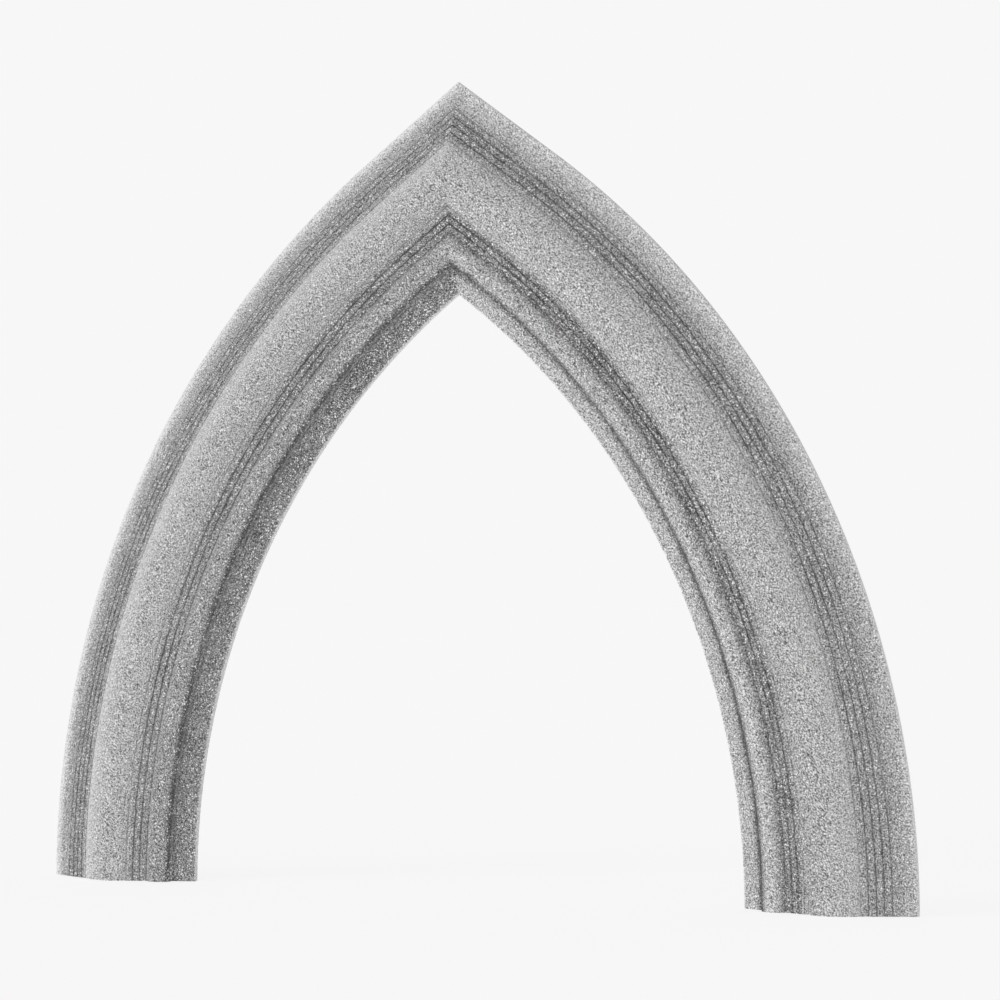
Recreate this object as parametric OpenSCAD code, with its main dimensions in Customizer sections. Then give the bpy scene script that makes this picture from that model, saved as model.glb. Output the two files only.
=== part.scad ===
// Moulded stone ring of a pointed (two-centred) arch.
// Each side is a row of cut stones with radial joints, from a springing bed at the
// bottom to a mitre at the point. There is no keystone: the moulding meets on the mitre.
// The arch stands in the XZ plane, front towards -Y, and the flat back lies against a wall.

/* [Arch] */
// Clear width of the opening between the two springing stones
clear_span = 1000; // [800:10:1300]
// Radius of the opening's edge on each side
arc_radius = 1230; // [900:10:1600]
// Length of opening edge next to the mitre that is worked straight
mitre_lead = 6; // [2:1:30]
// Number of stones on each side, the apex stone included
stones_per_side = 10; // [6:1:14]

/* [Inner members, from the opening outwards] */
// Width of the plain splay next to the opening
splay_w = 38; // [20:1:60]
// How far the splay comes forward over its width
splay_rise = 12.5; // [5:0.5:20]
// Height of the square step between the splay and the roll
quirk_rise = 13; // [6:0.5:20]
// Width of the roll
roll_w = 42; // [25:1:60]
// How much further forward the roll's outer foot lies than its inner foot
roll_rise = 4.5; // [0:0.5:8]
// Height of the roll above the line between its feet
roll_crown = 10; // [5:0.5:12]
// Number of narrow fillets between the roll and the band
inner_fillets = 3; // [2:1:5]
// Width of one inner fillet
inner_fillet_w = 11.3; // [8:0.1:16]
// How far each inner fillet comes forward
inner_fillet_rise = 3.6; // [1:0.1:6]

/* [Band] */
// Width of the broad crowned band
band_w = 88; // [60:1:120]
// How much further back the band's outer edge lies than its inner edge
band_fall = 8; // [0:0.5:12]
// Height of the band's crown above the line between its edges
band_crown = 14; // [6:0.5:20]

/* [Outer members] */
// Number of narrow fillets outside the band
outer_fillets = 4; // [2:1:6]
// Width of one outer fillet
outer_fillet_w = 11.2; // [8:0.1:16]
// How far each outer fillet falls back
outer_fillet_fall = 4.8; // [2:0.1:6]
// Width of the hollow at the outside of the ring
cove_w = 37; // [20:1:60]
// Depth of the hollow below the line between its edges
cove_hollow = 2.5; // [1:0.5:5]

/* [Edges and lines] */
// Thickness of the stone at the inner and outer edges
edge_t = 7; // [5:0.5:30]
// Width of the fine line cut between two members
line_w = 2.4; // [1:0.1:4]
// Depth of the fine line
line_d = 2.2; // [1:0.1:4]

/* [Hidden] */
// Points along each rounded member
roll_steps = 10;
band_steps = 12;
cove_steps = 6;
// Facets of a full turn of the ring
turn_facets = 360;
// How far a cutting block stands out past what it cuts
cut_margin = 50;
stone_grey = [0.66, 0.66, 0.66];

// The arcs are struck from centres beyond the middle of the opening
centre_offset = arc_radius - clear_span / 2;
apex_angle = acos(centre_offset / arc_radius);
// The arc ends a little short of the point, and the moulding runs straight on to the mitre
arc_angle = apex_angle - asin(mitre_lead / arc_radius);
stone_angle = arc_angle / stones_per_side;

// Distances of the members' edges from the opening, and how far forward they lie
roll_from = splay_w;
fillets_from = roll_from + roll_w;
band_from = fillets_from + inner_fillets * inner_fillet_w;
band_to = band_from + band_w;
cove_from = band_to + outer_fillets * outer_fillet_w;
ring_w = cove_from + cove_w;
step_foot = edge_t + splay_rise;
step_top = step_foot + quirk_rise;
fillets_foot = step_top + roll_rise;
band_inner = fillets_foot + inner_fillets * inner_fillet_rise;
band_outer = band_inner - band_fall;
cove_top = band_outer - outer_fillets * outer_fillet_fall;

// Points of a circular arc from a to b that rises by crown over its chord, both ends left out
function arc_points(a, b, crown, steps) =
    let (chord = norm(b - a),
         radius = (chord * chord / 4 + crown * crown) / (2 * abs(crown)),
         half_angle = asin(chord / 2 / radius),
         along = (b - a) / chord,
         up = [-along[1], along[0]] * sign(crown),
         centre = (a + b) / 2 + up * (abs(crown) - radius))
    [for (i = [1 : steps - 1])
        let (turn = half_angle * (2 * i / steps - 1))
        centre + radius * (sin(turn) * along + cos(turn) * up)];
// The three points of one fine line cut square into the face at p
function line_points(p, along) =
    let (inwards = [along[1], -along[0]])
    [p - along * line_w / 2, p + inwards * line_d, p + along * line_w / 2];
function unit(v) = v / norm(v);

roll_a = [roll_from, step_top];
roll_b = [fillets_from, fillets_foot];
band_a = [band_from, band_inner];
band_b = [band_to, band_outer];
cove_a = [cove_from, cove_top];
cove_b = [ring_w, edge_t];
inner_fillet_run = [inner_fillet_w, inner_fillet_rise];
outer_fillet_run = [outer_fillet_w, -outer_fillet_fall];

// Section of the ring: x is the distance from the opening, y the distance from the back
section = concat(
    [[0, 0], [0, edge_t], [roll_from, step_foot], roll_a],
    arc_points(roll_a, roll_b, roll_crown, roll_steps),
    [for (i = [0 : inner_fillets]) each line_points(roll_b + i * inner_fillet_run, unit(inner_fillet_run))],
    arc_points(band_a, band_b, band_crown, band_steps),
    [for (i = [0 : outer_fillets]) each line_points(band_b + i * outer_fillet_run, unit(outer_fillet_run))],
    arc_points(cove_a, cove_b, -cove_hollow, cove_steps),
    [cove_b, [ring_w, 0]]);

depth = max([for (p = section) p[1]]);
// Length of the straight run from the end of the arc to the mitre, at the ring's outer edge
mitre_run = ((arc_radius + ring_w) * cos(arc_angle) - centre_offset) / sin(arc_angle);
ring_reach = 2 * (arc_radius + ring_w);

SIDES = ["left", "right"];
function stone_name(side, place) =
    place == 0 ? str(side, "_springer")
    : place == stones_per_side - 1 ? str(side, "_apex_stone")
    : str(side, "_voussoir_", place + 1);

// The section, set out from the arc's centre
module ring_section() {
    translate([arc_radius, 0]) polygon(section);
}

// One stone's length of ring, lying flat with its front up
module arc_length(place) {
    rotate([0, 0, place * stone_angle]) rotate_extrude(angle = stone_angle, $fn = turn_facets) ring_section();
}

// The last stone: its length of arc, then the moulding carried straight on and cut at the mitre
module mitred_length() {
    intersection() {
        rotate([0, 0, arc_angle]) union() {
            rotate_extrude(angle = -stone_angle, $fn = turn_facets) ring_section();
            rotate([90, 0, 0]) translate([0, 0, -mitre_run]) linear_extrude(mitre_run) ring_section();
        }
        translate([centre_offset, 0, -cut_margin]) cube([ring_reach, ring_reach, depth + 2 * cut_margin]);
    }
}

// Stands the flat ring up on its springing beds, centred on its depth
module stand_up(side) {
    mirror([side == "left" ? 1 : 0, 0, 0])
        translate([-centre_offset, depth / 2, 0]) rotate([90, 0, 0]) children();
}

module springer(side) {
    color(stone_grey) stand_up(side) arc_length(0);
}

module voussoir(side, place) {
    color(stone_grey) stand_up(side) arc_length(place);
}

module apex_stone(side) {
    color(stone_grey) stand_up(side) mitred_length();
}

for (side = SIDES) {
    springer(side);
    for (place = [1 : stones_per_side - 2])
        voussoir(side, place);
    apex_stone(side);
}
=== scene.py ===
"""Looks of a pointed arch moulding: granular grey stones cut over the solids, in a pale studio."""

import math

import bmesh
import bpy
from bpy.props import FloatProperty, FloatVectorProperty, IntProperty, PointerProperty
from mathutils import Matrix, Vector, noise


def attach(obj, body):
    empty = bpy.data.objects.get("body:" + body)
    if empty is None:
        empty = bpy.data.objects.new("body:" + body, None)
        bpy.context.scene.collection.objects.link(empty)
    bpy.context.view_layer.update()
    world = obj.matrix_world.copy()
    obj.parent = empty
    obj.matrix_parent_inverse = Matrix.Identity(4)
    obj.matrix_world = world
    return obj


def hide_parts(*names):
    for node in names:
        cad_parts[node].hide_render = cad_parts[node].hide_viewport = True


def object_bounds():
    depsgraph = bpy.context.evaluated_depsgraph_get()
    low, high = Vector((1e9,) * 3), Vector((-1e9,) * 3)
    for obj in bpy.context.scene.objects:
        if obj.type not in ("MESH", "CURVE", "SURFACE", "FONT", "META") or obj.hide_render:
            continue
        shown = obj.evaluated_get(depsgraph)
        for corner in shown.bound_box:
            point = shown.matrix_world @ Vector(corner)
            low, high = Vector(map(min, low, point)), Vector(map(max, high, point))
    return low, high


bl_info = {
    "name": "Pointed Arch Stones",
    "version": (1, 0, 0),
    "blender": (4, 5, 0),
    "location": "View3D > Sidebar > Arch",
    "description": "Cuts the moulded stones of a pointed arch ring and sets up a studio round them",
    "category": "Add Mesh",
}

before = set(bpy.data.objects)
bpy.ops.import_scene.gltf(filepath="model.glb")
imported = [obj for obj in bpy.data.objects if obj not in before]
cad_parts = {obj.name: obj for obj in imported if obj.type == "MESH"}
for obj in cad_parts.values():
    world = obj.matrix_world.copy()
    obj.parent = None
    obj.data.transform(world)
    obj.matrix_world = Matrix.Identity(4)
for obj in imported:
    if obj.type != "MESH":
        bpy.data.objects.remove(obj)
CAD_LOW, CAD_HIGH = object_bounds()

MM = 0.001
BACK_Y = CAD_HIGH.y
BED_Z = CAD_LOW.z
# Turning about this axis carries +X up towards +Z
TURN_AXIS = Vector((0.0, -1.0, 0.0))
WELD = 1e-6
SIDES = ("left", "right")

# Painted shade, painted highlight and edge wear change on the way up: each pair holds for the springing
# and for the point, and goes over from one to the other between these two shares of the way
CHANGE_SPAN = (0.2, 0.8)
# Share of the stone's colour darkened by painted shade, by member and side: the roll's shadow on the
# left splay, and shade in the step, the fillets and the hollow
PAINTED_SHADE = {
    "left": {"splay": (0.50, 0.65), "step_foot": (0.5, 0.5), "step_top": (1.0, 1.0),
             "roll": (0.42, 0.32), "inner": (0.34, 0.52), "band": (0.0, 0.14), "outer": (0.50, 0.45)},
    "right": {"splay": (0.0, 0.0), "step_foot": (1.0, 0.8), "step_top": (1.0, 0.8),
              "roll": (0.0, 0.15), "inner": (0.56, 0.68), "band": (0.24, 0.04), "outer": (0.32, 0.46)},
}
STEP_SHADE_REACH = 10.5 * MM
# Shares of a member's width over which its painted shade comes in or dies out
SPLAY_FADE = 0.2
ROLL_FADE = 0.3
ROLL_END_FADE = 0.2
INNER_FADE = 0.6
OUTER_FADE = (-0.2, 0.8)
BAND_SHADE_REACH = 0.45
# How far into the hollow its painted shade reaches, as a share of the hollow's width
SHADE_END = {"left": (1.2, 0.7), "right": (0.9, 0.2)}
# The painted shade lies thicker over the low dark grains than on the pale ones that stand out
SHADE_ON_GRAINS = (1.6, 0.4)
# Share that is painted black: shade in a fine line, and shadow on the step's two corners
LINE_SHADE = 0.5
LINE_SHADE_REACH = 0.8
STEP_SHADOW = {"left": (0.35, 0.30), "right": (1.0, 0.5)}
STEP_SHADOW_REACH = {"left": 3.5 * MM, "right": 7.4 * MM}
# How far the members that stand out are painted paler: painted highlight on the roll, band and rims,
# with edge wear and painted highlight on the opening's arrises
WEAR_AND_HIGHLIGHT = {
    "left": {"opening_edge": (0.8, 0.8), "arris": (0.3, 0.3), "roll": (0.0, 0.0),
             "band": (0.45, 0.40), "rim": (1.6, 1.2), "rim_edge": (0.0, 0.0)},
    "right": {"opening_edge": (0.0, 0.0), "arris": (1.0, 1.0), "roll": (0.17, 0.10),
              "band": (0.25, 0.05), "rim": (0.2, 0.45), "rim_edge": (1.2, 1.2)},
}
ARRIS_REACH = 2.5 * MM
# Where across the roll and the band their painted highlight lies, as shares of the width
ROLL_CREST = 0.35
ROLL_CREST_REACH = 0.2
BAND_HIGHLIGHT_START = 0.4
RIM_REACH = {"left": (18 * MM, 18 * MM), "right": (14 * MM, 36 * MM)}
# Share of a fine line's depth that is worn away: beside a broad member, and between two fillets
EDGE_LINE_FILL = (0.85, 0.85)
INNER_LINE_FILL = (0.25, 0.05)
OUTER_LINE_FILL = {"left": (0.35, 0.45), "right": (0.5, 0.3)}
# How that share comes and goes along a line: slowly with wear, and from chip to chip
LINE_WEAR = 0.5
LINE_WEAR_LENGTH = 60 * MM
LINE_CHIPS = 0.2
LINE_CHIP_LENGTH = 6 * MM
LINE_MOST_WORN = 0.9
# The face was worked with slanting strokes, which draw the grains out
TOOLING_TURN = math.radians(45)
TOOLING_STRETCH = 2.4
# Depth of the pits and height of the swell between them, as shares of the relief, the swell's size in
# pits, and the distance from a high spot, in pits, at which the face is level
PIT_DEPTH = 0.8
SWELL = 0.5
SWELL_SIZE = 2.3
LEVEL_DISTANCE = 0.5
# Noise values at which a grain is darkest and palest
GRAIN_SPAN = (0.28, 0.72)
# The palest grains are a little smoother than the rest
GRAIN_POLISH = 0.12
# Share of the spots that hold a bright speck, how much that grows with the painted shade, and the radius
# of a speck as a share of its spot
SPECK_SHARE = 0.02
SPECK_SHARE_IN_SHADE = 0.2
SPECK_RADIUS = 0.45
# How finely the clouds of painted shade and of stain are broken up
CLOUD_DETAIL = 3.0
# How far the painted shade comes and goes from patch to patch
PATCH_SPAN = (0.5, 1.5)
# Cloud values between which the back is stained, and how dark the worst stain is
STAIN_SPAN = (0.35, 0.75)
STAIN_MOST = 0.35
# Bump of the grains, on the worked face and where the saw has cut them flat
GRAIN_RELIEF = 0.3
DRESSED_BUMP = 0.3
SAWN_BUMP = 0.15
# Size of a saw stroke on the back, and how far the strokes and the stones differ in tone
SAW_STROKE = (60 * MM, 3 * MM)
SAW_TONE = 0.35
STONE_TONE = 0.07
# How black the joints are at the back
JOINT_DIRT = 0.8
# Reflectance of the floor, which sets how dark the object's shadow is
FLOOR_SHADE = 0.25
FLOOR_SIZE = 60.0
FLOOR_GAP = 0.5 * MM
SENSOR_WIDTH = 36.0
# A bevel of this profile is round, and a worn arris is rounded in so many facets
ROUND_PROFILE = 0.5
ARRIS_FACETS = 2
# Arrises sharper than this stay crisp
CRISP_ANGLE = math.radians(60)


def length(name, description, millimetres):
    """A length property whose default is given in millimetres."""
    return FloatProperty(name=name, description=description, default=millimetres * MM,
                         unit="LENGTH", subtype="DISTANCE", precision=5)


def share(name, description, default):
    """A property from 0 to 1."""
    return FloatProperty(name=name, description=description, default=default, min=0.0, max=1.0,
                         subtype="FACTOR")


def grey(name, description, value):
    """A neutral colour property."""
    return FloatVectorProperty(name=name, description=description, default=(value,) * 3, size=3,
                               min=0.0, max=1.0, subtype="COLOR")


def degrees(name, description, value):
    """An angle property whose default is given in degrees."""
    return FloatProperty(name=name, description=description, default=math.radians(value),
                         unit="ROTATION", subtype="ANGLE")


class RingSizes(bpy.types.PropertyGroup):
    """Sizes of the ring and of its section, from the opening outwards."""

    clear_span: length("Clear span", "Clear width of the opening at the springing", 1000)
    arc_radius: length("Arc radius", "Radius of the opening's edge on each side", 1230)
    mitre_lead: length("Mitre lead", "Straight length of the opening's edge next to the mitre", 6)
    stones_per_side: IntProperty(name="Stones per side", description="Stones from springing to point",
                                 default=10, min=3)
    edge_t: length("Edge thickness", "Thickness of the stone at the inner and outer edges", 7)
    splay_w: length("Splay width", "Width of the plain splay next to the opening", 38)
    splay_rise: length("Splay rise", "How far the splay comes forward", 12.5)
    quirk_rise: length("Step height", "Height of the square step beside the splay", 13)
    roll_w: length("Roll width", "Width of the roll", 42)
    roll_rise: length("Roll rise", "How much further forward the roll's outer foot lies", 4.5)
    roll_crown: length("Roll crown", "Height of the roll above the line between its feet", 10)
    inner_fillets: IntProperty(name="Inner fillets", description="Fillets inside the band", default=3)
    inner_fillet_w: length("Inner fillet width", "Width of one inner fillet", 11.3)
    inner_fillet_rise: length("Inner fillet rise", "How far each inner fillet comes forward", 3.6)
    band_w: length("Band width", "Width of the broad crowned band", 88)
    band_fall: length("Band fall", "How much further back the band's outer edge lies", 8)
    band_crown: length("Band crown", "Height of the band above the line between its edges", 14)
    outer_fillets: IntProperty(name="Outer fillets", description="Fillets outside the band", default=4)
    outer_fillet_w: length("Outer fillet width", "Width of one outer fillet", 11.2)
    outer_fillet_fall: length("Outer fillet fall", "How far each outer fillet falls back", 4.8)
    cove_w: length("Hollow width", "Width of the hollow at the outside of the ring", 37)
    cove_hollow: length("Hollow depth", "Depth of the hollow below the line between its edges", 2.5)
    line_w: length("Line width", "Width of the fine line cut between two members", 2.4)
    line_d: length("Line depth", "Depth of the fine line", 2.2)
    arris_r: length("Arris rounding", "How much the exposed arrises are worn round", 1.4)
    back_arris: length("Back arris", "How much the arrises of the joints are eased at the back", 1.6)
    grid: length("Mesh spacing", "Spacing of the mesh over the worked face", 2.4)

    @property
    def centre_offset(self):
        return self.arc_radius - self.clear_span / 2

    @property
    def arc_angle(self):
        apex_angle = math.acos(self.centre_offset / self.arc_radius)
        return apex_angle - math.asin(self.mitre_lead / self.arc_radius)

    @property
    def stone_angle(self):
        return self.arc_angle / self.stones_per_side

    @property
    def centre(self):
        return Vector((-self.centre_offset, 0.0, BED_Z))

    @property
    def inner_run(self):
        return Vector((self.inner_fillet_w, self.inner_fillet_rise))

    @property
    def outer_run(self):
        return Vector((self.outer_fillet_w, -self.outer_fillet_fall))

    @property
    def opening_arris(self):
        return Vector((0.0, self.edge_t))

    @property
    def roll_foot(self):
        return Vector((self.splay_w, self.edge_t + self.splay_rise))

    @property
    def roll_start(self):
        return self.roll_foot + Vector((0.0, self.quirk_rise))

    @property
    def roll_end(self):
        return self.roll_start + Vector((self.roll_w, self.roll_rise))

    @property
    def band_start(self):
        return self.roll_end + self.inner_run * self.inner_fillets

    @property
    def band_end(self):
        return self.band_start + Vector((self.band_w, -self.band_fall))

    @property
    def cove_start(self):
        return self.band_end + self.outer_run * self.outer_fillets

    @property
    def rim(self):
        return Vector((self.cove_start.x + self.cove_w, self.edge_t))

    def lines(self, side):
        """Each fine line's distance from the opening, and the share of its depth that is worn away."""
        rows = ((self.roll_end, self.inner_run, self.inner_fillets, INNER_LINE_FILL),
                (self.band_end, self.outer_run, self.outer_fillets, OUTER_LINE_FILL[side]))
        found = []
        for start, run, count, middle_fill in rows:
            for i in range(count + 1):
                fill = EDGE_LINE_FILL if i in (0, count) else middle_fill
                found.append((start.x + i * run.x, fill))
        return found


class StoneFinish(bpy.types.PropertyGroup):
    """Colours and texture of the stone."""

    grain: length("Grain size", "Size of the grains across the tooling", 1.15)
    speck: length("Speck size", "Spacing at which a bright speck may lie", 2.8)
    pitting: length("Pitting size", "Spacing of the shallow pits on the worked face", 5.0)
    relief: length("Pitting relief", "Height of the pitted surface", 0.2)
    # Size of the patches in which the painted shade comes and goes
    patch: length("Patch size", "Size of the patches in which dirt comes and goes", 50)
    stain: length("Stain size", "Size of the stains on the back", 90)
    dark_grain: grey("Dark grains", "Colour of the darkest grains", 0.06)
    pale_grain: grey("Pale grains", "Colour of the palest grains", 0.90)
    glint: grey("Bright specks", "Colour of the scattered bright specks", 1.0)
    # Dark colour painted as shade on the worked face, and the colour of the stains and joints at the
    # back
    shade_and_stain: grey("Soil", "Colour of the dirt in the recesses", 0.04)
    # How strongly the painted shade shows
    shade_strength: share("Soiling", "How strongly the dirt shows", 1.0)
    # How strongly the members are painted paler: painted highlight, with edge wear
    wear_and_highlight_strength: share("Edge wear", "How strongly the edges are rubbed pale", 0.35)
    rough: share("Roughness", "Roughness of the matt stone", 0.9)


class StudioSetting(bpy.types.PropertyGroup):
    """Floor, light and camera."""

    backdrop: grey("Backdrop", "Colour of the floor and backdrop as the camera sees them", 0.93)
    key_turn: degrees("Key light turn", "How far to the left of the front the key light stands", 45)
    key_height: degrees("Key light height", "Height of the key light above the horizon", 8)
    key_spread: degrees("Key light spread", "Apparent width of the soft key light", 30)
    key_strength: FloatProperty(name="Key light strength", description="Strength of the key light",
                                default=1.0)
    ambient: FloatProperty(name="Ambient", description="Strength of the light from all round",
                           default=0.52)
    floor_glow: FloatProperty(name="Floor glow", description="Light that the lit floor throws back up",
                              default=0.8)
    camera_place: FloatVectorProperty(name="Camera place", description="Where the camera stands", size=3,
                                      default=(2.0738, -4.3041, 0.5083), unit="LENGTH",
                                      subtype="TRANSLATION")
    camera_pan: degrees("Camera pan", "How far the camera is turned to the left", 24.78)
    camera_tilt: degrees("Camera tilt", "How far the camera looks up", 1.685)
    camera_lens: FloatProperty(name="Focal length", description="Lens on a 36 mm sensor, in millimetres",
                               default=104.53)


class SectionPen:
    """Draws the ring's section as a wire on the springing bed, one member at a time."""

    def __init__(self, bm, ring):
        self.bm = bm
        self.ring = ring
        self.first = None
        self.last = None
        self.arrises = []

    def place(self, point):
        """Where a section point lies: x is its distance from the opening, y from the back."""
        return Vector((self.ring.clear_span / 2 + point.x, BACK_Y - point.y, BED_Z))

    def line_to(self, point, worn=False):
        """Draws a straight member, and notes its end as an arris that wear has rounded."""
        vert = self.bm.verts.new(self.place(point))
        if self.last is None:
            self.first = vert
        else:
            self.bm.edges.new((self.last, vert))
        if worn:
            self.arrises.append(vert)
        self.last = vert

    def arc_to(self, point, crown):
        """Swings the last vertex over to point, on an arc that rises by crown over its chord."""
        start = self.last.co.copy()
        end = self.place(point)
        chord = end - start
        radius = (chord.length_squared / 4 + crown * crown) / (2 * abs(crown))
        sweep = 2 * math.asin(chord.length / 2 / radius)
        forward = Vector((chord.y, -chord.x, 0.0)).normalized() * math.copysign(1.0, crown)
        centre = (start + end) / 2 + forward * (abs(crown) - radius)
        axis = (start - centre).cross(end - centre).normalized()
        steps = max(2, round(radius * sweep / self.ring.grid))
        swung = bmesh.ops.spin(self.bm, geom=[self.last], cent=centre, axis=axis, dvec=(0, 0, 0),
                               angle=sweep, steps=steps)
        self.last = next(item for item in swung["geom_last"] if isinstance(item, bmesh.types.BMVert))

    def fillets(self, start, run, count):
        """Cuts a row of fillets with a fine line at each end, from the near edge of the first line."""
        along = run.normalized()
        into = Vector((along.y, -along.x))
        for i in range(count + 1):
            middle = start + run * i
            if i > 0:
                self.line_to(middle - along * self.ring.line_w / 2)
            self.line_to(middle + into * self.ring.line_d)
            self.line_to(middle + along * self.ring.line_w / 2)

    def close(self):
        """Rounds the worn arrises, evens out the spacing and closes the wire along the back."""
        bmesh.ops.bevel(self.bm, geom=self.arrises, offset=self.ring.arris_r, affect="VERTICES",
                        segments=ARRIS_FACETS, profile=ROUND_PROFILE, material=-1)
        worked = self.bm.edges[:]
        self.bm.edges.new((self.last, self.first))
        for edge in worked:
            cuts = round(edge.calc_length() / self.ring.grid) - 1
            if cuts > 0:
                bmesh.ops.subdivide_edges(self.bm, edges=[edge], cuts=cuts)


def draw_section(bm, ring):
    """Draws the whole section: splay, step, roll, fillets, band, fillets and hollow."""
    pen = SectionPen(bm, ring)
    half_line = ring.line_w / 2
    pen.line_to(Vector((0.0, 0.0)))
    pen.line_to(ring.opening_arris, worn=True)
    pen.line_to(ring.roll_foot)
    pen.line_to(ring.roll_start, worn=True)
    pen.arc_to(ring.roll_end - ring.inner_run.normalized() * half_line, ring.roll_crown)
    pen.fillets(ring.roll_end, ring.inner_run, ring.inner_fillets)
    pen.arc_to(ring.band_end - ring.outer_run.normalized() * half_line, ring.band_crown)
    pen.fillets(ring.band_end, ring.outer_run, ring.outer_fillets)
    pen.arc_to(ring.rim, -ring.cove_hollow)
    pen.arrises.append(pen.last)
    pen.line_to(Vector((ring.rim.x, 0.0)))
    pen.close()


def sweep_stone(ring, place, mitred):
    """Open shell of one right-hand stone: its section swept along the arc, and on to the mitre."""
    bm = bmesh.new()
    bm.faces.layers.float.new("joint")
    draw_section(bm, ring)
    bmesh.ops.rotate(bm, cent=ring.centre, verts=bm.verts,
                     matrix=Matrix.Rotation(place * ring.stone_angle, 3, TURN_AXIS))
    middle_radius = ring.arc_radius + ring.rim.x / 2
    steps = round(ring.stone_angle * middle_radius / ring.grid)
    swept = bmesh.ops.spin(bm, geom=bm.verts[:] + bm.edges[:], cent=ring.centre, axis=TURN_AXIS,
                           dvec=(0, 0, 0), angle=ring.stone_angle, steps=steps)
    if mitred:
        along = Vector((-math.sin(ring.arc_angle), 0.0, math.cos(ring.arc_angle)))
        outer_x = (ring.arc_radius + ring.rim.x) * math.cos(ring.arc_angle) - ring.centre_offset
        run_steps = math.ceil(outer_x / math.sin(ring.arc_angle) / ring.grid) + 1
        bmesh.ops.spin(bm, geom=swept["geom_last"], cent=ring.centre, axis=TURN_AXIS,
                       dvec=along * ring.grid, angle=0.0, steps=run_steps)
        bmesh.ops.bisect_plane(bm, geom=bm.verts[:] + bm.edges[:] + bm.faces[:], dist=WELD,
                               plane_co=(0, 0, 0), plane_no=(1, 0, 0), clear_inner=True)
    return bm


def section_point(ring, co):
    """A point's distances from the opening and the back, and how far up the arc it is, from 0 to 1."""
    across = abs(co.x) + ring.centre_offset
    up = co.z - BED_Z
    angle = min(math.atan2(up, across), ring.arc_angle)
    from_opening = across * math.cos(angle) + up * math.sin(angle) - ring.arc_radius
    return Vector((from_opening, BACK_Y - co.y)), angle / ring.arc_angle


def ramp(value, low, high):
    """Rises smoothly from 0 at low to 1 at high."""
    share_up = min(max((value - low) / (high - low), 0.0), 1.0)
    return share_up * share_up * (3.0 - 2.0 * share_up)


def near(distance, reach):
    """Falls smoothly from 1 at no distance to almost 0 at twice the reach."""
    return math.exp(-(distance / reach) ** 2)


def between(ends, change):
    """A value that goes from the first of two to the second as change goes from 0 to 1."""
    return ends[0] + (ends[1] - ends[0]) * change


def most_of(amounts, cover, change):
    """The greatest of the amounts, each as far as it covers the point."""
    return max(between(amounts[place], change) * cover[place] for place in cover)


def painted_shade_at(ring, side, point, change):
    """How much painted shade and shadow darken a point of the section."""
    rho = point.x
    at_edge = max(near((point - ring.opening_arris).length, ARRIS_REACH), near(rho, ring.arris_r))
    on_band = ramp(rho, ring.band_start.x - ring.inner_run.x * INNER_FADE, ring.band_start.x)
    off_roll = ramp(rho, ring.roll_end.x - ring.roll_w * ROLL_END_FADE, ring.roll_end.x)
    off_band = ramp(rho, *(ring.band_end.x + ring.outer_run.x * fade for fade in OUTER_FADE))
    shade_end = ring.cove_start.x + ring.cove_w * between(SHADE_END[side], change)
    cover = {
        "splay": 1.0 - ramp(rho, ring.splay_w * (1.0 - SPLAY_FADE), ring.splay_w) - at_edge,
        "step_foot": near((point - ring.roll_foot).length, STEP_SHADE_REACH),
        "step_top": near((point - ring.roll_start).length, STEP_SHADE_REACH),
        "roll": ramp(rho, ring.splay_w, ring.splay_w + ring.roll_w * ROLL_FADE) * (1.0 - off_roll),
        "inner": ramp(rho, ring.roll_end.x - ring.roll_w * ROLL_FADE, ring.roll_end.x) * (1.0 - on_band),
        "band": near(rho - ring.band_start.x, ring.band_w * BAND_SHADE_REACH) * on_band,
        "outer": off_band * (1.0 - ramp(rho, ring.cove_start.x - ring.outer_run.x, shade_end)),
    }
    return most_of(PAINTED_SHADE[side], cover, change)


def crevice_shade_at(ring, side, point, change, line_gap, worn):
    """How black a point of the section is painted: shade in the fine lines, and shadow on the step's two
    corners.
    """
    line = (1.0 - worn) * near(line_gap, ring.line_w * LINE_SHADE_REACH)
    reach = STEP_SHADOW_REACH[side]
    step = max(near((point - corner).length, reach) for corner in (ring.roll_foot, ring.roll_start))
    return max(LINE_SHADE * line, between(STEP_SHADOW[side], change) * step)


def wear_and_highlight_at(ring, side, point, change):
    """How far a point of the section is painted paler on the members that stand out: painted highlight,
    with edge wear at the arrises.
    """
    rho = point.x
    rim_start = ring.rim.x - between(RIM_REACH[side], change)
    band_highlight_start = ring.band_start.x + ring.band_w * BAND_HIGHLIGHT_START
    cover = {
        "opening_edge": near(rho, ring.arris_r),
        "arris": near((point - ring.opening_arris).length, ARRIS_REACH),
        "roll": near(rho - ring.splay_w - ring.roll_w * ROLL_CREST, ring.roll_w * ROLL_CREST_REACH),
        "band": ramp(rho, band_highlight_start, ring.band_end.x) * (rho < ring.band_end.x),
        "rim": ramp(rho, rim_start, ring.rim.x) * ramp(point.y, 0.0, ring.edge_t),
        "rim_edge": near(rho - ring.rim.x, ring.arris_r),
    }
    return most_of(WEAR_AND_HIGHLIGHT[side], cover, change)


def pitted_height(co, pitting):
    """Height of the pitted face at a point, about 0 on average and 1 at most."""
    from_high_spot = noise.voronoi(co / pitting)[0][0]
    swell = noise.noise(co / (pitting * SWELL_SIZE))
    return PIT_DEPTH * (LEVEL_DISTANCE - from_high_spot) + SWELL * swell


def line_wear(co, fill):
    """Share of a fine line's depth that is worn away at a point."""
    slow = LINE_WEAR * noise.noise(co / LINE_WEAR_LENGTH)
    chips = LINE_CHIPS * noise.noise(co / LINE_CHIP_LENGTH)
    return min(max(fill + slow + chips, 0.0), LINE_MOST_WORN)


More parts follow.
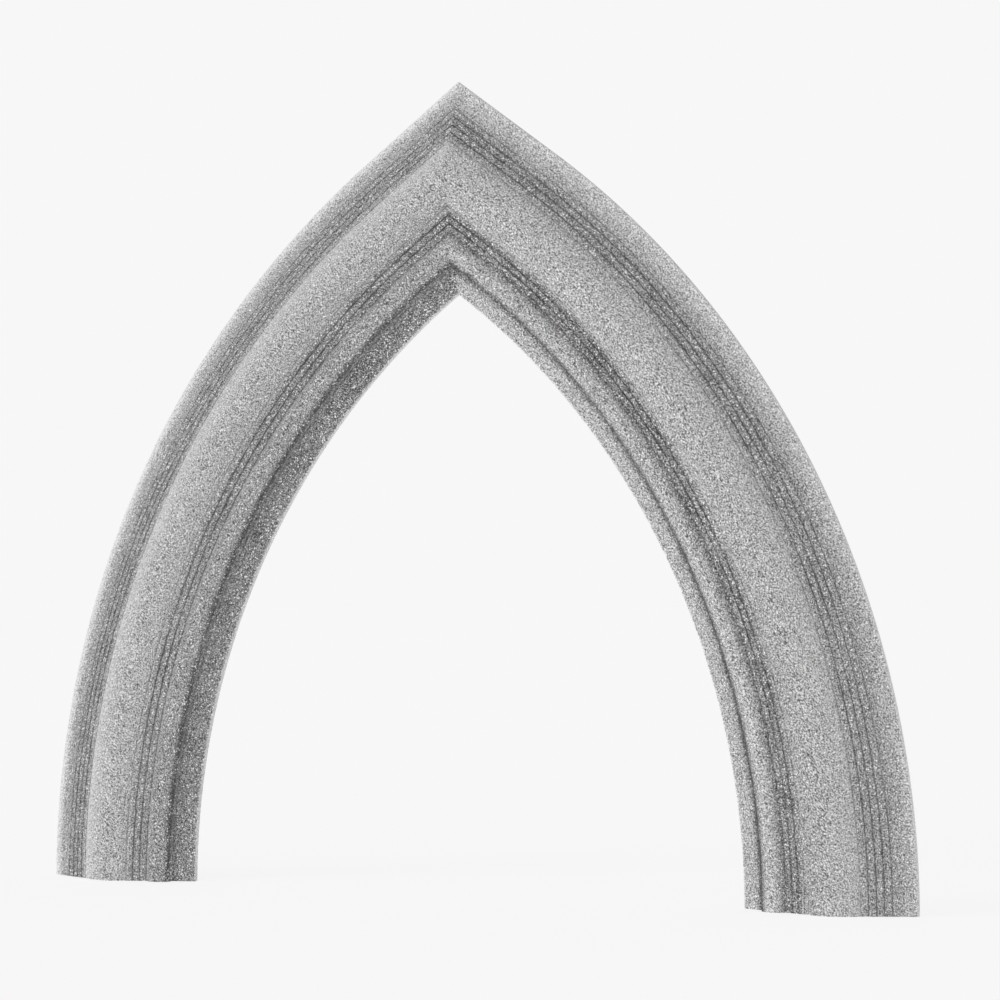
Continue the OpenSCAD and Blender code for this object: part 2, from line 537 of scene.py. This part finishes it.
def finish_plain_faces(bm, ring, caps):
    """Gives the sawn beds and back their material, and eases the arrises between them into joints."""
    joint = bm.faces.layers.float["joint"]
    for face in bm.faces:
        on_back = all(abs(vert.co.y - BACK_Y) < WELD for vert in face.verts)
        face.material_index = 1 if on_back or face in caps else 0
        face.smooth = face.material_index == 0
    arrises = {edge for cap in caps for edge in cap.edges
               if all(abs(vert.co.y - BACK_Y) < WELD for vert in edge.verts)}
    eased = bmesh.ops.bevel(bm, geom=list(arrises), offset=ring.back_arris, affect="EDGES", segments=1,
                            profile=ROUND_PROFILE, material=-1)
    for face in eased["faces"]:
        face[joint] = 1.0
    # Cutting the mitre and easing the arrises can leave edges of no length
    bmesh.ops.dissolve_degenerate(bm, dist=WELD, edges=bm.edges[:])


def dress_stone(bm, ring, finish, side, place):
    """Pits the worked face, wears down its lines, and notes where painted shade, painted crevice shadow,
    painted highlight and edge wear lie.
    """
    shade_and_stain = bm.verts.layers.float.new("shade_and_stain")
    painted_crevice_shade = bm.verts.layers.float.new("painted_crevice_shade")
    wear_and_highlight = bm.verts.layers.float.new("wear_and_highlight")
    stone = bm.verts.layers.float.new("stone")
    stone_tone = STONE_TONE * noise.cell((place, SIDES.index(side), 0))
    lines = ring.lines(side)
    moves = []
    for vert in bm.verts:
        worked = [face.normal for face in vert.link_faces if face.material_index == 0]
        point, up = section_point(ring, vert.co)
        change = ramp(up, *CHANGE_SPAN)
        line_gap, fill = min((abs(point.x - station), fill) for station, fill in lines)
        worn = line_wear(vert.co, between(fill, change))
        # Painted shade, painted crevice shadow, and painted highlight with edge wear, by place in the
        # section
        vert[shade_and_stain] = painted_shade_at(ring, side, point, change)
        vert[painted_crevice_shade] = crevice_shade_at(ring, side, point, change, line_gap, worn)
        vert[wear_and_highlight] = wear_and_highlight_at(ring, side, point, change)
        vert[stone] = stone_tone
        if len(worked) > 1 and abs(vert.co.y - BACK_Y) > WELD:
            outwards = sum(worked, Vector()).normalized()
            height = finish.relief * pitted_height(vert.co, finish.pitting)
            height += worn * ring.line_d * max(0.0, 1.0 - line_gap / (ring.line_w / 2))
            moves.append((vert, outwards * height))
    for vert, move in moves:
        on_mitre = abs(vert.co.x) < WELD
        vert.co += move
        if on_mitre:
            vert.co.x = 0.0


def stone_name(side, place, last):
    """The name of the solid at a place counted up from the springing."""
    if place == 0:
        return f"{side}_springer"
    if place == last:
        return f"{side}_apex_stone"
    return f"{side}_voussoir_{place + 1}"


def cut_stone(context, side, place):
    """Makes one stone, sets it on its solid and gives it its finish."""
    ring = context.scene.arch_ring
    finish = context.scene.arch_finish
    last = ring.stones_per_side - 1
    node = stone_name(side, place, last)
    bm = sweep_stone(ring, place, mitred=place == last)
    if side == "left":
        bmesh.ops.scale(bm, vec=(-1, 1, 1), verts=bm.verts)
    open_edges = [edge for edge in bm.edges if edge.is_boundary]
    caps = bmesh.ops.holes_fill(bm, edges=open_edges, sides=0)["faces"]
    bmesh.ops.recalc_face_normals(bm, faces=bm.faces)
    finish_plain_faces(bm, ring, caps)
    dress_stone(bm, ring, finish, side, place)
    mesh = bpy.data.meshes.new(f"{node}_cut")
    bm.to_mesh(mesh)
    bm.free()
    mesh.set_sharp_from_angle(angle=CRISP_ANGLE)
    mesh.materials.append(dressed_stone(finish))
    mesh.materials.append(sawn_stone(finish))
    stone = bpy.data.objects.new(f"{node}_cut", mesh)
    context.scene.collection.objects.link(stone)
    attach(stone, "root")
    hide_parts(node)
    return stone


def new_group(name, numbers, results):
    """A shader node group that takes a place and some numbers, and its input and output nodes."""
    group = bpy.data.node_groups.new(name, "ShaderNodeTree")
    group.interface.new_socket("Vector", in_out="INPUT", socket_type="NodeSocketVector")
    for socket in numbers:
        group.interface.new_socket(socket, in_out="INPUT", socket_type="NodeSocketFloat")
    for socket in results:
        group.interface.new_socket(socket, in_out="OUTPUT", socket_type="NodeSocketFloat")
    return group, group.nodes.new("NodeGroupInput"), group.nodes.new("NodeGroupOutput")


def math_node(tree, operation, first, second=None, clamp=False):
    """A Math node whose inputs are sockets or numbers, and its result."""
    made = tree.nodes.new("ShaderNodeMath")
    made.operation = operation
    made.use_clamp = clamp
    for socket, value in zip(made.inputs, (first, second)):
        if isinstance(value, bpy.types.NodeSocket):
            tree.links.new(value, socket)
        elif value is not None:
            socket.default_value = value
    return made.outputs[0]


def mix_colour(tree, amount, first, second):
    """A colour mix of two colours or sockets, and its result."""
    made = tree.nodes.new("ShaderNodeMix")
    made.data_type = "RGBA"
    colours = [socket for socket in made.inputs if socket.type == "RGBA"]
    for socket, value in zip([made.inputs[0], *colours], (amount, first, second)):
        if isinstance(value, bpy.types.NodeSocket):
            tree.links.new(value, socket)
        elif isinstance(value, float):
            socket.default_value = value
        else:
            socket.default_value = (*value, 1.0)
    return next(socket for socket in made.outputs if socket.type == "RGBA")


def cells(group, vector, size):
    """Voronoi cells of a size: the random numbers of each cell and the distance from its middle."""
    made = group.nodes.new("ShaderNodeTexVoronoi")
    group.links.new(vector, made.inputs["Vector"])
    group.links.new(math_node(group, "DIVIDE", 1.0, size), made.inputs["Scale"])
    numbers = group.nodes.new("ShaderNodeSeparateColor")
    group.links.new(made.outputs["Color"], numbers.inputs["Color"])
    return numbers.outputs, made.outputs["Distance"]


def remap(tree, value, before, after):
    """Carries a value from one range over to another, and holds it there."""
    made = tree.nodes.new("ShaderNodeMapRange")
    for name, bound in zip(("From Min", "From Max", "To Min", "To Max"), (*before, *after)):
        made.inputs[name].default_value = bound
    tree.links.new(value, made.inputs["Value"])
    return made.outputs["Result"]


def grain_group():
    """Grains that differ in tone, drawn out a little along the tooling, with scattered specks."""
    name = "Stone grain"
    if name in bpy.data.node_groups:
        return bpy.data.node_groups[name]
    group, entry, leave = new_group(name, ("Grain Size", "Speck Size", "Speck Share"), ("Tone", "Speck"))
    tooling = group.nodes.new("ShaderNodeMapping")
    tooling.vector_type = "TEXTURE"
    tooling.inputs["Rotation"].default_value = (0.0, TOOLING_TURN, 0.0)
    tooling.inputs["Scale"].default_value = (TOOLING_STRETCH, 1.0, 1.0)
    group.links.new(entry.outputs["Vector"], tooling.inputs["Vector"])
    grains = group.nodes.new("ShaderNodeTexNoise")
    grains.inputs["Detail"].default_value = 0.0
    group.links.new(tooling.outputs["Vector"], grains.inputs["Vector"])
    group.links.new(math_node(group, "DIVIDE", 1.0, entry.outputs["Grain Size"]), grains.inputs["Scale"])
    group.links.new(remap(group, grains.outputs["Fac"], GRAIN_SPAN, (0.0, 1.0)), leave.inputs["Tone"])
    picks, from_middle = cells(group, entry.outputs["Vector"], entry.outputs["Speck Size"])
    limit = math_node(group, "SUBTRACT", 1.0, entry.outputs["Speck Share"])
    picked = math_node(group, "GREATER_THAN", picks[0], limit)
    inside = math_node(group, "LESS_THAN", from_middle, SPECK_RADIUS)
    group.links.new(math_node(group, "MULTIPLY", picked, inside), leave.inputs["Speck"])
    return group


def cloud_group():
    """Slow changes of tone over a few centimetres, from 0 to 1."""
    name = "Stone cloud"
    if name in bpy.data.node_groups:
        return bpy.data.node_groups[name]
    group, entry, leave = new_group(name, ("Cloud Size",), ("Tone",))
    cloud = group.nodes.new("ShaderNodeTexNoise")
    cloud.inputs["Detail"].default_value = CLOUD_DETAIL
    group.links.new(entry.outputs["Vector"], cloud.inputs["Vector"])
    group.links.new(math_node(group, "DIVIDE", 1.0, entry.outputs["Cloud Size"]), cloud.inputs["Scale"])
    group.links.new(cloud.outputs["Fac"], leave.inputs["Tone"])
    return group


def place_group(tree, group, **values):
    """A group node in a material, with its numbers set and Object coordinates plugged in."""
    made = tree.nodes.new("ShaderNodeGroup")
    made.node_tree = group
    coordinates = tree.nodes.new("ShaderNodeTexCoord")
    tree.links.new(coordinates.outputs["Object"], made.inputs["Vector"])
    for socket, value in values.items():
        made.inputs[socket.replace("_", " ")].default_value = value
    return made


def attribute(tree, name):
    """A value that the mesh holds at each vertex or face."""
    made = tree.nodes.new("ShaderNodeAttribute")
    made.attribute_name = name
    return made.outputs["Fac"]


def new_stone_material(name):
    """A material with an empty Principled shader, its tree and the shader."""
    material = bpy.data.materials.new(name)
    material.use_nodes = True
    tree = material.node_tree
    return material, tree, tree.nodes["Principled BSDF"]


def roughen(tree, shader, finish, tone, strength):
    """Roughness and fine relief that follow the grains."""
    rough = remap(tree, tone, (0.0, 1.0), (finish.rough, finish.rough - GRAIN_POLISH))
    tree.links.new(rough, shader.inputs["Roughness"])
    relief = tree.nodes.new("ShaderNodeBump")
    relief.inputs["Strength"].default_value = strength
    relief.inputs["Distance"].default_value = finish.grain * GRAIN_RELIEF
    tree.links.new(tone, relief.inputs["Height"])
    tree.links.new(relief.outputs["Normal"], shader.inputs["Normal"])


def dressed_stone(finish):
    """The worked face: speckled grey grains, painted shade and shadow in the recesses and lines, and
    members painted paler with painted highlight and edge wear.
    """
    name = "dressed_stone"
    if name in bpy.data.materials:
        return bpy.data.materials[name]
    material, tree, shader = new_stone_material(name)
    # Mask of the painted shade, held on the mesh
    shade_and_stain = attribute(tree, "shade_and_stain")
    grains = place_group(tree, grain_group(), Grain_Size=finish.grain, Speck_Size=finish.speck)
    more_specks = math_node(tree, "MULTIPLY", shade_and_stain, SPECK_SHARE_IN_SHADE)
    tree.links.new(math_node(tree, "ADD", more_specks, SPECK_SHARE), grains.inputs["Speck Share"])
    cloud = place_group(tree, cloud_group(), Cloud_Size=finish.patch)
    tone = grains.outputs["Tone"]
    # Members painted paler: painted highlight, with edge wear at the arrises
    paled = math_node(tree, "MULTIPLY", attribute(tree, "wear_and_highlight"), finish.wear_and_highlight_strength)
    shade = math_node(tree, "ADD", tone, paled, clamp=True)
    colour = mix_colour(tree, shade, finish.dark_grain, finish.pale_grain)
    # Painted shade, in patches and thicker over the dark grains
    patchy = remap(tree, cloud.outputs["Tone"], (0.0, 1.0), PATCH_SPAN)
    grain_shade = math_node(tree, "MULTIPLY", patchy, remap(tree, tone, (0.0, 1.0), SHADE_ON_GRAINS))
    painted_dark = math_node(tree, "MULTIPLY", shade_and_stain, grain_shade)
    painted_dark = math_node(tree, "MULTIPLY", painted_dark, finish.shade_strength, clamp=True)
    colour = mix_colour(tree, painted_dark, colour, finish.shade_and_stain)
    colour = mix_colour(tree, grains.outputs["Speck"], colour, finish.glint)
    # Painted black shade in the fine lines, and painted shadow at the step's corners
    crevice_dark = math_node(tree, "MULTIPLY", attribute(tree, "painted_crevice_shade"), patchy, clamp=True)
    colour = mix_colour(tree, crevice_dark, colour, finish.shade_and_stain)
    tree.links.new(colour, shader.inputs["Base Color"])
    roughen(tree, shader, finish, tone, DRESSED_BUMP)
    return material


def saw_strokes(tree):
    """Long level strokes that the saw left on the back, from 0 to 1."""
    coordinates = tree.nodes.new("ShaderNodeTexCoord")
    along = tree.nodes.new("ShaderNodeMapping")
    stroke_length, stroke_width = SAW_STROKE
    along.inputs["Scale"].default_value = (1.0 / stroke_length, 1.0 / stroke_width, 1.0 / stroke_width)
    tree.links.new(coordinates.outputs["Object"], along.inputs["Vector"])
    strokes = tree.nodes.new("ShaderNodeTexNoise")
    strokes.inputs["Scale"].default_value = 1.0
    tree.links.new(along.outputs["Vector"], strokes.inputs["Vector"])
    return strokes.outputs["Fac"]


def sawn_stone(finish):
    """The sawn back and beds: the same grains, cut through flat, with stains and dark joints."""
    name = "sawn_stone"
    if name in bpy.data.materials:
        return bpy.data.materials[name]
    material, tree, shader = new_stone_material(name)
    grains = place_group(tree, grain_group(), Grain_Size=finish.grain, Speck_Size=finish.speck,
                         Speck_Share=SPECK_SHARE)
    cloud = place_group(tree, cloud_group(), Cloud_Size=finish.stain)
    tone = grains.outputs["Tone"]
    sawn = remap(tree, saw_strokes(tree), (0.0, 1.0), (-SAW_TONE, SAW_TONE))
    sawn = math_node(tree, "ADD", sawn, attribute(tree, "stone"))
    shade = math_node(tree, "ADD", tone, sawn, clamp=True)
    colour = mix_colour(tree, shade, finish.dark_grain, finish.pale_grain)
    stained = remap(tree, cloud.outputs["Tone"], STAIN_SPAN, (0.0, STAIN_MOST))
    colour = mix_colour(tree, stained, colour, finish.shade_and_stain)
    colour = mix_colour(tree, grains.outputs["Speck"], colour, finish.glint)
    in_joint = math_node(tree, "MULTIPLY", attribute(tree, "joint"), JOINT_DIRT)
    colour = mix_colour(tree, in_joint, colour, finish.shade_and_stain)
    tree.links.new(colour, shader.inputs["Base Color"])
    roughen(tree, shader, finish, shade, SAWN_BUMP)
    return material


def seen_by_eye(tree):
    """1 for what the camera sees, directly, in a reflection or through glass, and 0 otherwise."""
    path = tree.nodes.new("ShaderNodeLightPath")
    seen = math_node(tree, "ADD", path.outputs["Is Camera Ray"], path.outputs["Is Glossy Ray"])
    return math_node(tree, "ADD", seen, path.outputs["Is Transmission Ray"], clamp=True)


def floor_material(studio):
    """Pale floor that the camera sees at the backdrop's colour, with the object's soft shadow."""
    material = bpy.data.materials.new("studio_floor")
    material.use_nodes = True
    tree = material.node_tree
    tree.nodes.clear()
    leave = tree.nodes.new("ShaderNodeOutputMaterial")
    shaded = tree.nodes.new("ShaderNodeBsdfDiffuse")
    shaded.inputs["Color"].default_value = (FLOOR_SHADE, FLOOR_SHADE, FLOOR_SHADE, 1.0)
    key_on_floor = studio.key_strength / math.pi * math.sin(studio.key_height)
    seen_glow = studio.backdrop[0] - FLOOR_SHADE * (key_on_floor + studio.ambient)
    seen = tree.nodes.new("ShaderNodeMix")
    tree.links.new(seen_by_eye(tree), seen.inputs["Factor"])
    seen.inputs["A"].default_value = studio.floor_glow
    seen.inputs["B"].default_value = seen_glow
    glow = tree.nodes.new("ShaderNodeEmission")
    tree.links.new(seen.outputs["Result"], glow.inputs["Strength"])
    both = tree.nodes.new("ShaderNodeAddShader")
    tree.links.new(shaded.outputs[0], both.inputs[0])
    tree.links.new(glow.outputs[0], both.inputs[1])
    tree.links.new(both.outputs[0], leave.inputs["Surface"])
    return material


def make_floor(context, studio):
    """A wide level floor under the springing beds."""
    bm = bmesh.new()
    bmesh.ops.create_grid(bm, x_segments=1, y_segments=1, size=FLOOR_SIZE)
    bmesh.ops.translate(bm, verts=bm.verts, vec=(0, 0, BED_Z - FLOOR_GAP))
    mesh = bpy.data.meshes.new("floor")
    bm.to_mesh(mesh)
    bm.free()
    mesh.materials.append(floor_material(studio))
    floor = bpy.data.objects.new("floor", mesh)
    context.scene.collection.objects.link(floor)


def make_world(context, studio):
    """Even light from all round, seen by the camera as the pale backdrop."""
    world = bpy.data.worlds.new("studio_world")
    world.use_nodes = True
    context.scene.world = world
    tree = world.node_tree
    tree.nodes.clear()
    leave = tree.nodes.new("ShaderNodeOutputWorld")
    around = tree.nodes.new("ShaderNodeBackground")
    around.inputs["Color"].default_value = (1.0, 1.0, 1.0, 1.0)
    around.inputs["Strength"].default_value = studio.ambient
    backdrop = tree.nodes.new("ShaderNodeBackground")
    backdrop.inputs["Color"].default_value = (*studio.backdrop, 1.0)
    mix = tree.nodes.new("ShaderNodeMixShader")
    tree.links.new(seen_by_eye(tree), mix.inputs[0])
    tree.links.new(around.outputs[0], mix.inputs[1])
    tree.links.new(backdrop.outputs[0], mix.inputs[2])
    tree.links.new(mix.outputs[0], leave.inputs["Surface"])


def make_key_light(context, studio):
    """A wide, far light to the left of the front, a little above the horizon."""
    lamp = bpy.data.lights.new("key", "SUN")
    lamp.energy = studio.key_strength
    lamp.angle = studio.key_spread
    light = bpy.data.objects.new("key", lamp)
    light.rotation_euler = (math.pi / 2 - studio.key_height, 0.0, -studio.key_turn)
    context.scene.collection.objects.link(light)


def make_camera(context, studio):
    """The camera, at the viewing angle of the reference view."""
    camera_data = bpy.data.cameras.new("camera")
    camera_data.lens = studio.camera_lens
    camera_data.sensor_width = SENSOR_WIDTH
    camera = bpy.data.objects.new("camera", camera_data)
    camera.location = studio.camera_place
    camera.rotation_euler = (math.pi / 2 + studio.camera_tilt, 0.0, studio.camera_pan)
    context.scene.collection.objects.link(camera)
    context.scene.camera = camera


class ARCH_OT_springers(bpy.types.Operator):
    """Cut the two bottom stones, which rest on their springing beds"""

    bl_idname = "arch.springers"
    bl_label = "Springers"

    def execute(self, context):
        for side in SIDES:
            cut_stone(context, side, 0)
        return {"FINISHED"}


class ARCH_OT_voussoirs(bpy.types.Operator):
    """Cut the wedge-shaped stones of both arcs"""

    bl_idname = "arch.voussoirs"
    bl_label = "Voussoirs"

    def execute(self, context):
        for side in SIDES:
            for place in range(1, context.scene.arch_ring.stones_per_side - 1):
                cut_stone(context, side, place)
        return {"FINISHED"}


class ARCH_OT_apex_stones(bpy.types.Operator):
    """Cut the two top stones, which meet on the mitre"""

    bl_idname = "arch.apex_stones"
    bl_label = "Apex stones"

    def execute(self, context):
        for side in SIDES:
            cut_stone(context, side, context.scene.arch_ring.stones_per_side - 1)
        return {"FINISHED"}


class ARCH_OT_studio(bpy.types.Operator):
    """Set up the floor, the light and the camera"""

    bl_idname = "arch.studio"
    bl_label = "Studio"

    def execute(self, context):
        studio = context.scene.arch_studio
        context.scene.view_settings.view_transform = "Standard"
        make_floor(context, studio)
        make_world(context, studio)
        make_key_light(context, studio)
        make_camera(context, studio)
        return {"FINISHED"}


class ARCH_PT_panel(bpy.types.Panel):
    """Lists the arch's operators and settings in the sidebar."""

    bl_label = "Pointed Arch"
    bl_idname = "ARCH_PT_panel"
    bl_space_type = "VIEW_3D"
    bl_region_type = "UI"
    bl_category = "Arch"

    def draw(self, context):
        for operator in OPERATORS:
            self.layout.operator(operator.bl_idname)
        for settings in (context.scene.arch_ring, context.scene.arch_finish, context.scene.arch_studio):
            for name in settings.__annotations__:
                self.layout.prop(settings, name)


OPERATORS = (ARCH_OT_springers, ARCH_OT_voussoirs, ARCH_OT_apex_stones, ARCH_OT_studio)
CLASSES = (RingSizes, StoneFinish, StudioSetting, *OPERATORS, ARCH_PT_panel)


def register():
    for cls in CLASSES:
        bpy.utils.register_class(cls)
    bpy.types.Scene.arch_ring = PointerProperty(type=RingSizes)
    bpy.types.Scene.arch_finish = PointerProperty(type=StoneFinish)
    bpy.types.Scene.arch_studio = PointerProperty(type=StudioSetting)


def unregister():
    del bpy.types.Scene.arch_studio
    del bpy.types.Scene.arch_finish
    del bpy.types.Scene.arch_ring
    for cls in reversed(CLASSES):
        bpy.utils.unregister_class(cls)


def main():
    register()
    bpy.ops.arch.springers()
    bpy.ops.arch.voussoirs()
    bpy.ops.arch.apex_stones()
    bpy.ops.arch.studio()


if __name__ == "__main__":
    main()
